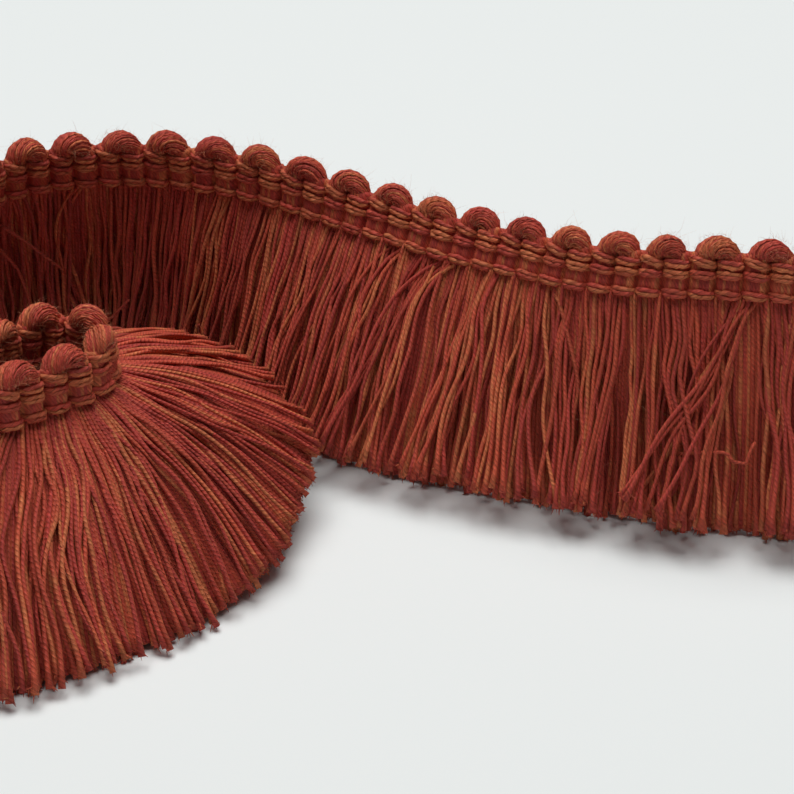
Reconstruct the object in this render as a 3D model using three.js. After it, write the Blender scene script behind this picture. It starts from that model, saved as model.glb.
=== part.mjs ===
// Brush fringe: a cut length of furnishing trim, standing on its brush edge in a loose coil.
// A woven heading band carries a scalloped cord along its top and a deep skirt of cut yarn below.
// Millimetres, +Z up. The yarn ends rest on the plane z = 0.

import * as THREE from 'three';

// Driving dimensions of the trim
const BAND_HEIGHT = 7.2;
const BAND_HALF_THICKNESS = 1.35;
const RIB_RELIEF = 0.45;
const RIBS_PER_LOBE = 2;
const LOBE_COUNT = 34;
const LOBE_HEIGHT = 2.9;
const LOBE_HALF_THICKNESS = 2.4;
const VALLEY_HEIGHT = 0.6;
const VALLEY_HALF_THICKNESS = 1.1;
const PIECE_GAP = 0.3;
const STRIP_HEIGHT = 1.6;
const STRIP_HALF_THICKNESS = 1.15;
const LOCK_PITCH = 1.35;
const LOCK_FILL = 0.76;
const LOCK_DEPTH = 2.6;
const LOCK_DRIFT = 0.5;
const DRIFT_RATE = 2.3;
const EDGE_STEP = 0.4;
const REST_BELOW = 1.6;
const DOWN = new THREE.Vector3(0, 0, -1);
const STRAND_BOW = 2.2;
const STRAND_REACH = 20;
const CLOTH_COLOUR = 0x9a4030;
const CLOTH_ROUGHNESS = 0.9;
const CURVE_TENSION = 0.5;
const ARC_DIVISIONS = 2000;

// How the cut length stands, from its cut end on the right to its inner end in the coil.
// Each row holds one section of the ribbon, about one scallop apart.
// x, y, z: lower edge of the band; lean: degrees that the band tips to the coil's inside;
// footX, footY, footZ: where the yarn of that section ends.
const COLUMNS = ['x', 'y', 'z', 'lean', 'footX', 'footY', 'footZ'];
const SECTIONS = [
  [72.8, -16.6, 38.6, -15, 74.2, -27.0, 0],
  [64.6, -15.4, 38.6, -15, 66.0, -26.0, 0],
  [59.4, -14.8, 38.6, -16, 60.6, -25.2, 0],
  [51.2, -13.4, 38.3, -17, 52.4, -24.0, 0],
  [43.1, -11.6, 37.7, -17, 43.6, -21.6, 0],
  [35.8, -8.3, 36.5, -20, 35.0, -18.6, 0],
  [28.3, -4.8, 35.8, -22, 25.8, -15.8, 0],
  [21.3, -0.8, 35.5, -25, 16.8, -13.2, 0],
  [13.5, 3.6, 35.2, -27, 7.4, -10.0, 0],
  [6.0, 7.9, 35.2, -27, -0.9, -6.6, 0],
  [-1.4, 12.6, 35.7, -24, -8.8, -2.4, 0],
  [-8.6, 17.2, 35.8, -20, -16.0, 2.8, 0],
  [-16.2, 22.0, 36.6, -12, -23.6, 10.4, 0],
  [-24.6, 26.0, 37.6, -6, -30.6, 18.4, 0],
  [-33.0, 29.2, 38.0, -3, -37.2, 25.6, 0],
  [-42.0, 31.2, 38.5, 3, -44.0, 31.6, 0],
  [-51.0, 31.2, 38.7, 3, -51.6, 35.6, 0],
  [-59.6, 29.4, 39.0, 7, -61.2, 36.4, 0],
  [-67.4, 26.0, 39.0, 8, -71.4, 34.2, 0],
  [-74.6, 20.0, 38.2, 8, -81.4, 27.6, 0],
  [-79.6, 11.4, 37.2, 8, -89.6, 17.6, 0],
  [-82.2, 1.0, 36.2, 8, -95.4, 3.8, 0],
  [-83.0, -10.6, 35.2, 8, -98.4, -11.6, 0],
  [-82.0, -22.4, 34.0, 8, -99.0, -28.0, 0],
  [-79.0, -33.4, 32.8, 8, -96.4, -44.4, 0],
  [-73.6, -41.6, 31.6, 8, -86.0, -60.0, 0],
  [-67.2, -44.2, 30.6, 6, -72.4, -68.4, 0],
  [-61.2, -41.8, 30.2, 4, -61.2, -69.0, 0],
  [-56.4, -37.6, 30.0, 2, -52.4, -66.2, 0],
  [-52.2, -34.2, 30.0, 2, -41.6, -59.4, 0],
  [-48.8, -31.6, 30.0, 3, -29.6, -49.4, 0],
  [-46.7, -28.6, 30.0, 4, -20.0, -38.4, 2.5],
  [-46.0, -25.2, 30.0, 4, -16.0, -26.0, 5],
  [-46.6, -22.0, 30.0, 4, -14.2, -14.0, 9],
  [-48.8, -19.6, 30.0, 4, -20.0, -1.4, 12.5],
  [-52.2, -18.2, 30.0, 4, -31.0, 9.4, 14.5],
  [-56.0, -18.2, 30.0, 4, -45.0, 14.6, 14.5],
  [-59.8, -20.2, 30.0, 4, -58.4, 9.4, 7],
  [-63.0, -23.8, 30.0, 4, -69.0, 1.4, 1],
  [-65.6, -28.4, 30.0, 4, -74.4, -8.2, 0],
];

// Stretches of skirt along the ribbon, each named for where it stands, with the scallop it ends at.
// Where the ribbon bends, a stretch is made in several short pieces, so that each is nearly flat.
// The yarn of a bowed one curves out as it falls, so its locks have a joint half way down.
const SKIRTS = [
  { name: 'skirt_01_cut_end', lastLobe: 3, pieces: 1, bowed: false },
  { name: 'skirt_02_front_right', lastLobe: 6, pieces: 1, bowed: false },
  { name: 'skirt_03_front_middle', lastLobe: 9, pieces: 1, bowed: false },
  { name: 'skirt_04_front_left', lastLobe: 12, pieces: 2, bowed: false },
  { name: 'skirt_05_back_bend', lastLobe: 15, pieces: 2, bowed: false },
  { name: 'skirt_06_back_left', lastLobe: 18, pieces: 2, bowed: false },
  { name: 'skirt_07_side_rear', lastLobe: 21, pieces: 2, bowed: true },
  { name: 'skirt_08_side_front', lastLobe: 24, pieces: 2, bowed: true },
  { name: 'skirt_09_near_bend', lastLobe: 27, pieces: 3, bowed: true },
  { name: 'skirt_10_near_arm', lastLobe: 28.6, pieces: 2, bowed: true },
  { name: 'skirt_11_fan_front', lastLobe: 30, pieces: 2, bowed: true },
  { name: 'skirt_12_fan_rear', lastLobe: 31.4, pieces: 3, bowed: true },
  { name: 'skirt_13_inner_end', lastLobe: LOBE_COUNT, pieces: 5, bowed: true },
];

// The coil is centred over the origin by moving it by this much.
const CENTRE_SHIFT = new THREE.Vector3(13.3, 16.5, 0);

const rows = SECTIONS.map((values) => Object.fromEntries(COLUMNS.map((key, i) => [key, values[i]])));
const curveThrough = (toPoint) => {
  const curve = new THREE.CatmullRomCurve3(rows.map(toPoint), false, 'catmullrom', CURVE_TENSION);
  curve.arcLengthDivisions = ARC_DIVISIONS;
  return curve;
};
const rootCurve = curveThrough((row) => new THREE.Vector3(row.x, row.y, row.z).add(CENTRE_SHIFT));
const footCurve = curveThrough((row) => new THREE.Vector3(row.footX, row.footY, row.footZ).add(CENTRE_SHIFT));
const leanCurve = curveThrough((row) => new THREE.Vector3(row.lean, 0, 0));
const RIBBON_LENGTH = rootCurve.getLength();
const LOBE_PITCH = RIBBON_LENGTH / LOBE_COUNT;

// The ribbon's own axes at a distance along it: travel, up the band, and out of its inner face.
function ribbonFrame(distance) {
  const t = rootCurve.getUtoTmapping(THREE.MathUtils.clamp(distance / RIBBON_LENGTH, 0, 1));
  const travel = rootCurve.getTangent(t).setZ(0).normalize();
  const inner = new THREE.Vector3(-travel.y, travel.x, 0);
  const lean = THREE.MathUtils.degToRad(leanCurve.getPoint(t).x);
  const up = inner.clone().multiplyScalar(Math.sin(lean)).setZ(Math.cos(lean));
  const face = inner.clone().multiplyScalar(Math.cos(lean)).setZ(-Math.sin(lean));
  const foot = footCurve.getPoint(t);
  return { root: rootCurve.getPoint(t), foot, travel, inner, up, face };
}

// A closed mesh through rings of points. Each ring turns from the inner face to up, seen along it.
function sweep(rings) {
  const size = rings[0].length;
  const vertices = rings.flat();
  const triangles = [];
  for (let r = 0; r + 1 < rings.length; r += 1) {
    for (let k = 0; k < size; k += 1) {
      const a = r * size + k;
      const b = r * size + ((k + 1) % size);
      triangles.push([a, b, a + size], [b, b + size, a + size]);
    }
  }
  const last = (rings.length - 1) * size;
  for (let k = 1; k + 1 < size; k += 1) {
    triangles.push([0, k + 1, k], [last, last + k, last + k + 1]);
  }
  return { vertices, triangles };
}

function toGeometry({ vertices, triangles }) {
  const geometry = new THREE.BufferGeometry();
  const positions = new Float32Array(vertices.flatMap((v) => [v.x, v.y, v.z]));
  geometry.setAttribute('position', new THREE.BufferAttribute(positions, 3));
  geometry.setIndex(triangles.flat());
  return geometry;
}

// A ring across the ribbon from points of height above the root and distance out of the face.
function ringAt(frame, outline) {
  return outline.map(([height, out]) => frame.root.clone()
    .addScaledVector(frame.up, height)
    .addScaledVector(frame.face, out));
}

// The woven band. Its ribs are the legs of the scalloped cord, bound by rows of warp yarn.
const BAND_ROWS = [
  { height: 0, swell: 0.74 },
  { height: 0.2, swell: 1 },
  { height: 0.62, swell: 1 },
  { height: 1, swell: 0.8 },
];
const RIB_STEPS = [
  { part: 0.02, relief: -1 },
  { part: 0.3, relief: 0.8 },
  { part: 0.7, relief: 0.8 },
];

function headingBand() {
  const ribCount = LOBE_COUNT * RIBS_PER_LOBE;
  const ribPitch = RIBBON_LENGTH / ribCount;
  const rings = [];
  const addRing = (distance, relief) => {
    const half = BAND_HALF_THICKNESS + RIB_RELIEF * relief;
    const inside = BAND_ROWS.map((row) => [row.height * BAND_HEIGHT, half * row.swell]);
    const outside = BAND_ROWS.map((row) => [row.height * BAND_HEIGHT, -half * row.swell]);
    rings.push(ringAt(ribbonFrame(distance), [...inside, ...outside.reverse()]));
  };
  for (let rib = 0; rib < ribCount; rib += 1) {
    RIB_STEPS.forEach((step) => addRing((rib + step.part) * ribPitch, step.relief));
  }
  addRing(RIBBON_LENGTH, RIB_STEPS[0].relief);
  return toGeometry(sweep(rings));
}

// The scalloped cord: one thick cord turning over at the top of each pair of ribs.
const LOBE_SQUARENESS = 2.2;
const LOBE_STEPS = [0.02, 0.12, 0.3, 0.5, 0.7, 0.88];
const LOBE_OUTLINE = [
  { height: 1, out: 0 },
  { height: 0.82, out: -0.62 },
  { height: 0.4, out: -1 },
  { height: 0, out: -0.72 },
  { height: 0, out: 0.72 },
  { height: 0.4, out: 1 },
  { height: 0.82, out: 0.62 },
];

function scallopCord() {
  const rings = [];
  const base = BAND_HEIGHT + PIECE_GAP;
  const addRing = (distance, part) => {
    const round = Math.sqrt(1 - Math.min(1, Math.abs(2 * part - 1)) ** LOBE_SQUARENESS);
    const height = VALLEY_HEIGHT + (LOBE_HEIGHT - VALLEY_HEIGHT) * round;
    const half = VALLEY_HALF_THICKNESS + (LOBE_HALF_THICKNESS - VALLEY_HALF_THICKNESS) * round;
    const outline = LOBE_OUTLINE.map((point) => [base + point.height * height, point.out * half]);
    rings.push(ringAt(ribbonFrame(distance), outline));
  };
  for (let lobe = 0; lobe < LOBE_COUNT; lobe += 1) {
    LOBE_STEPS.forEach((part) => addRing((lobe + part) * LOBE_PITCH, part));
  }
  addRing(RIBBON_LENGTH, 1);
  return toGeometry(sweep(rings));
}

const STRIP_OUTLINE = [
  [-PIECE_GAP - STRIP_HEIGHT, STRIP_HALF_THICKNESS],
  [-PIECE_GAP, STRIP_HALF_THICKNESS],
  [-PIECE_GAP, -STRIP_HALF_THICKNESS],
  [-PIECE_GAP - STRIP_HEIGHT, -STRIP_HALF_THICKNESS],
];

// The line that the yarn takes from the band to its cut end, bowed up and outwards.
function strandLine(distance) {
  const frame = ribbonFrame(distance);
  const start = frame.root.clone().addScaledVector(frame.up, -PIECE_GAP - STRIP_HEIGHT);
  const end = frame.foot;
  const chord = end.clone().sub(start);
  const level = chord.clone().setZ(0);
  const bow = level.clone().multiplyScalar(-chord.z).setZ(level.lengthSq()).normalize();
  bow.multiplyScalar(STRAND_BOW * Math.min(1, level.length() / STRAND_REACH));
  const middle = start.clone().lerp(end, 0.5).add(bow);
  return { chord, middle, end };
}

// One edge of a lock: the inner and outer points of its middle and of its cut end.
// An end that rests is level with the table, and one that floats is square to its yarn.
function lockEdge(distance, drift, rests) {
  const { chord, middle, end } = strandLine(distance);
  const ahead = strandLine(distance + EDGE_STEP);
  const behind = strandLine(distance - EDGE_STEP);
  const middleAcross = ahead.middle.clone().sub(behind.middle);
  const endAcross = ahead.end.clone().sub(behind.end);
  const thick = chord.clone().cross(middleAcross).normalize();
  const tip = (rests ? DOWN : chord).clone().cross(endAcross).normalize();
  end.z = rests ? 0 : end.z;
  const pair = (centre, out, shift) => ({
    inner: centre.clone().addScaledVector(out, shift - LOCK_DEPTH / 2),
    outer: centre.clone().addScaledVector(out, shift + LOCK_DEPTH / 2),
  });
  return { middle: pair(middle, thick, drift / 2), end: pair(end, tip, drift) };
}

// One skirt piece: a narrow strip just under the band, with locks of yarn that grow from it.
// The strip has a ring at each edge of each lock. Between locks its underside is closed.
// The facing sides of two locks are split along like diagonals, so that they twist together.
const FAR_SIDE = 2;
const FOOT_STEPS = 20;

function skirtPiece(from, to, bowed) {
  const count = Math.round((to - from + footLength(from, to)) / 2 / LOCK_PITCH);
  const spacing = (to - from) / (count - 1 + LOCK_FILL);
  const strip = [];
  const levels = [];
  for (let i = 0; i < count; i += 1) {
    const edges = [from + i * spacing, from + (i + LOCK_FILL) * spacing];
    const drift = LOCK_DRIFT * Math.sin(edges[0] * DRIFT_RATE);
    const rests = ribbonFrame((edges[0] + edges[1]) / 2).foot.z < REST_BELOW;
    edges.forEach((distance) => strip.push(ringAt(ribbonFrame(distance), STRIP_OUTLINE)));
    const [first, second] = edges.map((distance) => lockEdge(distance, drift, rests));
    const loop = (level) => [first[level].outer, first[level].inner, second[level].inner,
      second[level].outer];
    levels.push(bowed ? [loop('middle'), loop('end')] : [loop('end')]);
  }
  const { vertices, triangles } = sweep(strip);
  const side = STRIP_OUTLINE.length;
  const isLockBase = (ring) => ring % 2 === 0;
  const kept = triangles.filter((_, index) => {
    const ring = Math.floor(index / (side * 2));
    const face = Math.floor(index / 2) % side;
    return ring >= strip.length - 1 || face !== side - 1 || !isLockBase(ring);
  });
  levels.forEach((loops, i) => {
    const base = i * 2 * side;
    let below = [base + side - 1, base, base + side, base + 2 * side - 1];
    loops.forEach((loop) => {
      const here = loop.map((point) => vertices.push(point) - 1);
      below.forEach((a, k) => {
        const next = (k + 1) % side;
        const [b, c, d] = [below[next], here[next], here[k]];
        kept.push(...(k === FAR_SIDE ? [[a, b, c], [a, c, d]] : [[a, b, d], [b, c, d]]));
      });
      below = here;
    });
    kept.push([below[0], below[1], below[2]], [below[0], below[2], below[3]]);
  });
  return toGeometry({ vertices, triangles: kept });
}

function footLength(from, to) {
  const feetAt = (i) => ribbonFrame(from + ((to - from) * i) / FOOT_STEPS).foot;
  const feet = Array.from({ length: FOOT_STEPS + 1 }, (_, i) => feetAt(i));
  return feet.slice(1).reduce((sum, foot, i) => sum + foot.distanceTo(feet[i]), 0);
}

const clothMaterial = () => new THREE.MeshStandardMaterial({
  color: CLOTH_COLOUR,
  roughness: CLOTH_ROUGHNESS,
  metalness: 0,
});

const fringe = new THREE.Group();

function addPiece(name, geometry) {
  const mesh = new THREE.Mesh(geometry, clothMaterial());
  mesh.name = name;
  fringe.add(mesh);
}

addPiece('heading_band', headingBand());
addPiece('scallop_cord', scallopCord());
let skirtStart = 0;
SKIRTS.forEach(({ name, lastLobe, pieces, bowed }) => {
  const step = (lastLobe * LOBE_PITCH - skirtStart) / pieces;
  for (let piece = 1; piece <= pieces; piece += 1) {
    const [from, to] = [skirtStart + PIECE_GAP / 2, skirtStart + step - PIECE_GAP / 2];
    addPiece(pieces > 1 ? `${name}_${piece}` : name, skirtPiece(from, to, bowed));
    skirtStart += step;
  }
});

export default fringe;
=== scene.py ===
"""Looks of a brush fringe: a cut length of furnishing trim that stands on its yarn in a loose coil.

A gimp cord turns over in scallops along the top of a woven heading. Warp yarn binds the legs of
the cord into ribs, and a deep skirt of cut two-ply yarn hangs below. Lengths here are in
millimetres along the trim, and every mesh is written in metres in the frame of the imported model.
"""

import math
from types import SimpleNamespace

import bpy
import numpy as np
from mathutils import Euler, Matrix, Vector


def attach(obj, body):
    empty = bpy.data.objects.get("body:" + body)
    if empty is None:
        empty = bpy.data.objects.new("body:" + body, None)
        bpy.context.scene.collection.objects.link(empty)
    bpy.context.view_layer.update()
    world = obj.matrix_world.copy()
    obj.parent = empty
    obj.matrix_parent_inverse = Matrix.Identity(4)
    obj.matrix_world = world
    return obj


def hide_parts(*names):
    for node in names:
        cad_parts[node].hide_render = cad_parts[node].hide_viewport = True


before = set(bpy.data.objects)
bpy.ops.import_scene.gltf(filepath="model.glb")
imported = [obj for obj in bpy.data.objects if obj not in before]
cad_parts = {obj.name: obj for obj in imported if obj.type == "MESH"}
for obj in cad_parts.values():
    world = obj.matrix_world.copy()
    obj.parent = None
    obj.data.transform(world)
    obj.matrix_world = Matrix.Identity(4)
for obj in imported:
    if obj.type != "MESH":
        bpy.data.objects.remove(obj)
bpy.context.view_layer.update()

bl_info = {
    "name": "Brush Fringe",
    "version": (1, 0, 0),
    "blender": (4, 5, 0),
    "location": "3D View > Sidebar > Fringe",
    "description": "Builds a brush fringe with a scalloped gimp heading and a skirt of cut yarn",
    "category": "Add Mesh",
}

MM = 0.001
BODY = "root"

# Sizes of the trim, as in the part's source
BAND_HEIGHT = 7.2
LOBE_COUNT = 34
RIBS_PER_LOBE = 2
STRAND_BOW = 2.2
STRAND_REACH = 20
HEADING_HEIGHT = 10.4
REST_BELOW = 1.6


def as_rows(columns, table):
    """A table as a list of rows with named columns."""
    return [SimpleNamespace(**dict(zip(columns, values))) for values in table]


# How the cut length stands. Each row is one section, about one scallop apart: x, y and z of the
# band's lower edge, degrees that the band tips to the coil's inside, and x, y and z of the yarn's
# cut end.
SECTIONS = np.array((
    (72.8, -16.6, 38.6, -15, 74.2, -27.0, 0),
    (64.6, -15.4, 38.6, -15, 66.0, -26.0, 0),
    (59.4, -14.8, 38.6, -16, 60.6, -25.2, 0),
    (51.2, -13.4, 38.3, -17, 52.4, -24.0, 0),
    (43.1, -11.6, 37.7, -17, 43.6, -21.6, 0),
    (35.8, -8.3, 36.5, -20, 35.0, -18.6, 0),
    (28.3, -4.8, 35.8, -22, 25.8, -15.8, 0),
    (21.3, -0.8, 35.5, -25, 16.8, -13.2, 0),
    (13.5, 3.6, 35.2, -27, 7.4, -10.0, 0),
    (6.0, 7.9, 35.2, -27, -0.9, -6.6, 0),
    (-1.4, 12.6, 35.7, -24, -8.8, -2.4, 0),
    (-8.6, 17.2, 35.8, -20, -16.0, 2.8, 0),
    (-16.2, 22.0, 36.6, -12, -23.6, 10.4, 0),
    (-24.6, 26.0, 37.6, -6, -30.6, 18.4, 0),
    (-33.0, 29.2, 38.0, -3, -37.2, 25.6, 0),
    (-42.0, 31.2, 38.5, 3, -44.0, 31.6, 0),
    (-51.0, 31.2, 38.7, 3, -51.6, 35.6, 0),
    (-59.6, 29.4, 39.0, 7, -61.2, 36.4, 0),
    (-67.4, 26.0, 39.0, 8, -71.4, 34.2, 0),
    (-74.6, 20.0, 38.2, 8, -81.4, 27.6, 0),
    (-79.6, 11.4, 37.2, 8, -89.6, 17.6, 0),
    (-82.2, 1.0, 36.2, 8, -95.4, 3.8, 0),
    (-83.0, -10.6, 35.2, 8, -98.4, -11.6, 0),
    (-82.0, -22.4, 34.0, 8, -99.0, -28.0, 0),
    (-79.0, -33.4, 32.8, 8, -96.4, -44.4, 0),
    (-73.6, -41.6, 31.6, 8, -86.0, -60.0, 0),
    (-67.2, -44.2, 30.6, 6, -72.4, -68.4, 0),
    (-61.2, -41.8, 30.2, 4, -61.2, -69.0, 0),
    (-56.4, -37.6, 30.0, 2, -52.4, -66.2, 0),
    (-52.2, -34.2, 30.0, 2, -41.6, -59.4, 0),
    (-48.8, -31.6, 30.0, 3, -29.6, -49.4, 0),
    (-46.7, -28.6, 30.0, 4, -20.0, -38.4, 2.5),
    (-46.0, -25.2, 30.0, 4, -16.0, -26.0, 5),
    (-46.6, -22.0, 30.0, 4, -14.2, -14.0, 9),
    (-48.8, -19.6, 30.0, 4, -20.0, -1.4, 12.5),
    (-52.2, -18.2, 30.0, 4, -31.0, 9.4, 14.5),
    (-56.0, -18.2, 30.0, 4, -45.0, 14.6, 14.5),
    (-59.8, -20.2, 30.0, 4, -58.4, 9.4, 7),
    (-63.0, -23.8, 30.0, 4, -69.0, 1.4, 1),
    (-65.6, -28.4, 30.0, 4, -74.4, -8.2, 0),
))
CENTRE_SHIFT = np.array((13.3, 16.5, 0.0))

# Stretches of the skirt. last_lobe: the scallop that each ends at; pieces: the solids that it is
# made in; flare: how far the outer yarn's ends stand out and off the table, eased from middle to
# middle.
SKIRTS = as_rows(("name", "last_lobe", "pieces", "flare"), (
    ("skirt_01_cut_end", 3, 1, 9.0),
    ("skirt_02_front_right", 6, 1, 9.0),
    ("skirt_03_front_middle", 9, 1, 8.8),
    ("skirt_04_front_left", 12, 2, 7.6),
    ("skirt_05_back_bend", 15, 2, 4.0),
    ("skirt_06_back_left", 18, 2, 3.5),
    ("skirt_07_side_rear", 21, 2, 2.4),
    ("skirt_08_side_front", 24, 2, 2.4),
    ("skirt_09_near_bend", 27, 3, 1.8),
    ("skirt_10_near_arm", 28.6, 2, 3.4),
    ("skirt_11_fan_front", 30, 2, 3.0),
    ("skirt_12_fan_rear", 31.4, 3, 1.4),
    ("skirt_13_inner_end", 34, 5, 0.8),
))

# The warp yarn that binds the heading: height of each row's middle, how far each float drops, and
# the rib, of each two, that it crosses on the inner face.
WARP_ROWS = (
    (6.20, 0.45, 1),
    (5.90, 0.20, 0),
    (4.15, 0.14, 0),
    (4.15, 0.14, 1),
    (0.95, 0.16, 0),
    (0.95, 0.16, 1),
)
YARNS_IN_ROW = 2
UNEVENNESS = 0.12
MOST_DEVIATIONS = 1.5

SEED = 1907
YARN_MAP = "yarn"
BAKE_MAP = "OFBake"
YARN_DRAWS = "yarn_draws"


def smooth_step(value, start, end):
    """0 up to start and 1 from end, with a soft change between."""
    share = np.clip((value - start) / (end - start), 0, 1)
    return share * share * (3 - 2 * share)


def unit(vectors):
    """Vectors made one long."""
    return vectors / np.maximum(np.linalg.norm(vectors, axis=-1, keepdims=True), 1e-9)


def uneven(rng, size):
    """Factors round 1 for thicknesses that vary a little, as spun yarn does."""
    return 1 + UNEVENNESS * rng.normal(size=size).clip(-MOST_DEVIATIONS, MOST_DEVIATIONS)


def spline(points, t):
    """Points of a smooth curve through a table's points, at t from 0 to 1."""
    points = np.asarray(points, float)
    reached = np.vstack([2 * points[0] - points[1], points, 2 * points[-1] - points[-2]])
    place = np.clip(t, 0, 1) * (len(points) - 1)
    span = np.minimum(place.astype(int), len(points) - 2)
    w = (place - span)[:, None]
    before, start, end, after = (reached[span + step] for step in range(4))
    leave = (end - before) / 2
    arrive = (after - start) / 2
    square = 3 * (end - start) - 2 * leave - arrive
    cube = 2 * (start - end) + leave + arrive
    return start + leave * w + square * w**2 + cube * w**3


class Ribbon:
    """The way of the trim, and its own axes at any distance along it."""

    STATIONS = 3001
    CLEAR = 0.3
    REST_EASE = 1

    def __init__(self):
        t = np.linspace(0, 1, self.STATIONS)
        gaps = np.linalg.norm(np.diff(spline(SECTIONS, t)[:, :3], axis=0), axis=1)
        lengths = np.concatenate([[0], np.cumsum(gaps)])
        self.length = float(lengths[-1])
        self.lobe_pitch = self.length / LOBE_COUNT
        self.rib_pitch = self.lobe_pitch / RIBS_PER_LOBE
        way = spline(SECTIONS, np.interp(np.linspace(0, self.length, self.STATIONS), lengths, t))
        root = way[:, :3] + CENTRE_SHIFT
        lean = np.radians(way[:, 3:4])
        foot = way[:, 4:] + CENTRE_SHIFT
        travel = unit(np.gradient(root, axis=0) * (1, 1, 0))
        inner = np.stack([-travel[:, 1], travel[:, 0], np.zeros(self.STATIONS)], 1)
        rise = np.array((0.0, 0.0, 1.0))
        up = inner * np.sin(lean) + rise * np.cos(lean)
        face = inner * np.cos(lean) - rise * np.sin(lean)
        start = root - up * self.CLEAR
        chord = foot - start
        level = chord * (1, 1, 0)
        reach = np.linalg.norm(level, axis=1, keepdims=True)
        bow = unit(level * -chord[:, 2:] + rise * reach**2) * STRAND_BOW
        bow = bow * np.minimum(1, reach / STRAND_REACH)
        middle = start + chord / 2 + bow
        eased = (REST_BELOW - self.REST_EASE, REST_BELOW + self.REST_EASE)
        rests = 1 - smooth_step(foot[:, 2:], *eased)
        tip_fall = unit(unit(chord) * (1 - rests) - rise * rests)
        self.tables = {
            "root": root, "up": up, "face": face, "start": start, "chord": chord, "bow": bow,
            "spread": np.linalg.norm(np.gradient(foot, axis=0), axis=1, keepdims=True)
            / np.linalg.norm(np.gradient(root, axis=0), axis=1, keepdims=True),
            "middle_face": -unit(np.cross(chord, np.gradient(middle, axis=0))),
            "tip_face": -unit(np.cross(tip_fall, np.gradient(foot, axis=0))),
        }

    def at(self, distance):
        """The band's edge, axes and yarn at each distance."""
        place = np.clip(np.asarray(distance) / self.length, 0, 1) * (self.STATIONS - 1)
        low = np.minimum(place.astype(int), self.STATIONS - 2)
        w = (place - low)[..., None]
        found = {key: rows[low] * (1 - w) + rows[low + 1] * w for key, rows in self.tables.items()}
        return SimpleNamespace(**found)

    def in_band(self, distance, height, out):
        """Points by distance along the trim, height above the band's edge and out of its inner face."""
        here = self.at(distance)
        return here.root + here.up * height[..., None] + here.face * out[..., None]

    def in_skirt(self, distance, fall, out):
        """Points by distance along the trim, fall from 0 at the band to 1 at the cut, and out."""
        here = self.at(distance)
        w = fall[..., None]
        line = here.start + here.chord * w + here.bow * 4 * w * (1 - w)
        upper = here.face * (1 - 2 * w) + here.middle_face * 2 * w
        lower = here.middle_face * (2 - 2 * w) + here.tip_face * (2 * w - 1)
        return line + unit(np.where(w < 0.5, upper, lower)) * out[..., None]


RIBBON = Ribbon()
TABLE_GAP = 0.03


def shown(name, data):
    """A new object of the data, in the scene."""
    made = bpy.data.objects.new(name, data)
    bpy.context.scene.collection.objects.link(made)
    return made


class Cloth:
    """Gathers the vertices, faces and maps of one piece, and makes the piece of them."""

    def __init__(self):
        self.points, self.draws, self.corners, self.sizes = [], [], [], []
        self.yarn_map, self.bake_map = [], []
        self.count = 0

    def add(self, points, draws, faces, yarn_map, bake_map):
        """Adds points with their faces. The maps hold one place for each corner of each face."""
        self.points.append(points.reshape(-1, 3))
        self.draws.append(draws.reshape(-1, 3))
        self.add_faces(faces + self.count, yarn_map, bake_map)
        self.count += len(self.points[-1])

    def add_faces(self, faces, yarn_map, bake_map):
        """Adds faces of one size on points that are there."""
        self.corners.append(faces.ravel())
        self.sizes.append(np.full(len(faces), faces.shape[1]))
        self.yarn_map.append(yarn_map.reshape(-1, 2))
        self.bake_map.append(bake_map.reshape(-1, 2))

    def build(self, name, recipe, slot, nodes=()):
        """Makes the piece with its material, ties it to the body, and hides the solids that it stands
        for.
        What would pass into the table is lifted onto it."""
        mesh = bpy.data.meshes.new(name)
        points = np.concatenate(self.points)
        points[:, 2] = np.maximum(points[:, 2], TABLE_GAP)
        corners = np.concatenate(self.corners)
        sizes = np.concatenate(self.sizes)
        mesh.vertices.add(self.count)
        mesh.vertices.foreach_set("co", (points * MM).astype(np.float32).ravel())
        mesh.loops.add(len(corners))
        mesh.loops.foreach_set("vertex_index", corners.astype(np.int32))
        mesh.polygons.add(len(sizes))
        mesh.polygons.foreach_set("loop_start", (np.cumsum(sizes) - sizes).astype(np.int32))
        mesh.polygons.foreach_set("use_smooth", np.ones(len(sizes), bool))
        for layer_name, rows in ((YARN_MAP, self.yarn_map), (BAKE_MAP, self.bake_map)):
            layer = mesh.uv_layers.new(name=layer_name)
            layer.uv.foreach_set("vector", np.concatenate(rows).astype(np.float32).ravel())
        draws = mesh.attributes.new(YARN_DRAWS, "FLOAT_VECTOR", "POINT")
        draws.data.foreach_set("vector", np.concatenate(self.draws).astype(np.float32).ravel())
        mesh.materials.append(material_called(recipe))
        mesh.update(calc_edges=True)
        mesh.validate()
        piece = shown(name, mesh)
        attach(piece, BODY)
        if nodes:
            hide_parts(*nodes)
        return piece


# Places in the bake map. Each piece of yarn has a cell, with a margin at its sides and a strip at its
# top for both end caps. All are shares of the cell, and a cap's height is one of its strip.
CELL_MARGIN = 0.08
CELL_START = 0.01
CELL_LENGTH = 0.98
CAP_SHARE = 0.04
CAP_FIRST = 0.3
CAP_APART = 0.4
CAP_WIDTH = 0.15
CAP_HEIGHT = 0.4

HAIR_SIDES = 3
HAIR_STEPS = 2
HAIR_TAPER = 0.75
HAIR_THICKNESS = (0.7, 1.2)


def cells(count, girth, length):
    """Lower corners and size of a bake map's cells, one for each of count long narrow pieces."""
    rows = max(1, round(math.sqrt(count * girth / length)))
    columns = math.ceil(count / rows)
    index = np.arange(count)
    corners = np.stack([(index % columns) / columns, (index // columns) / rows], 1)
    return corners, np.array((1 / columns, 1 / rows))


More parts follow.
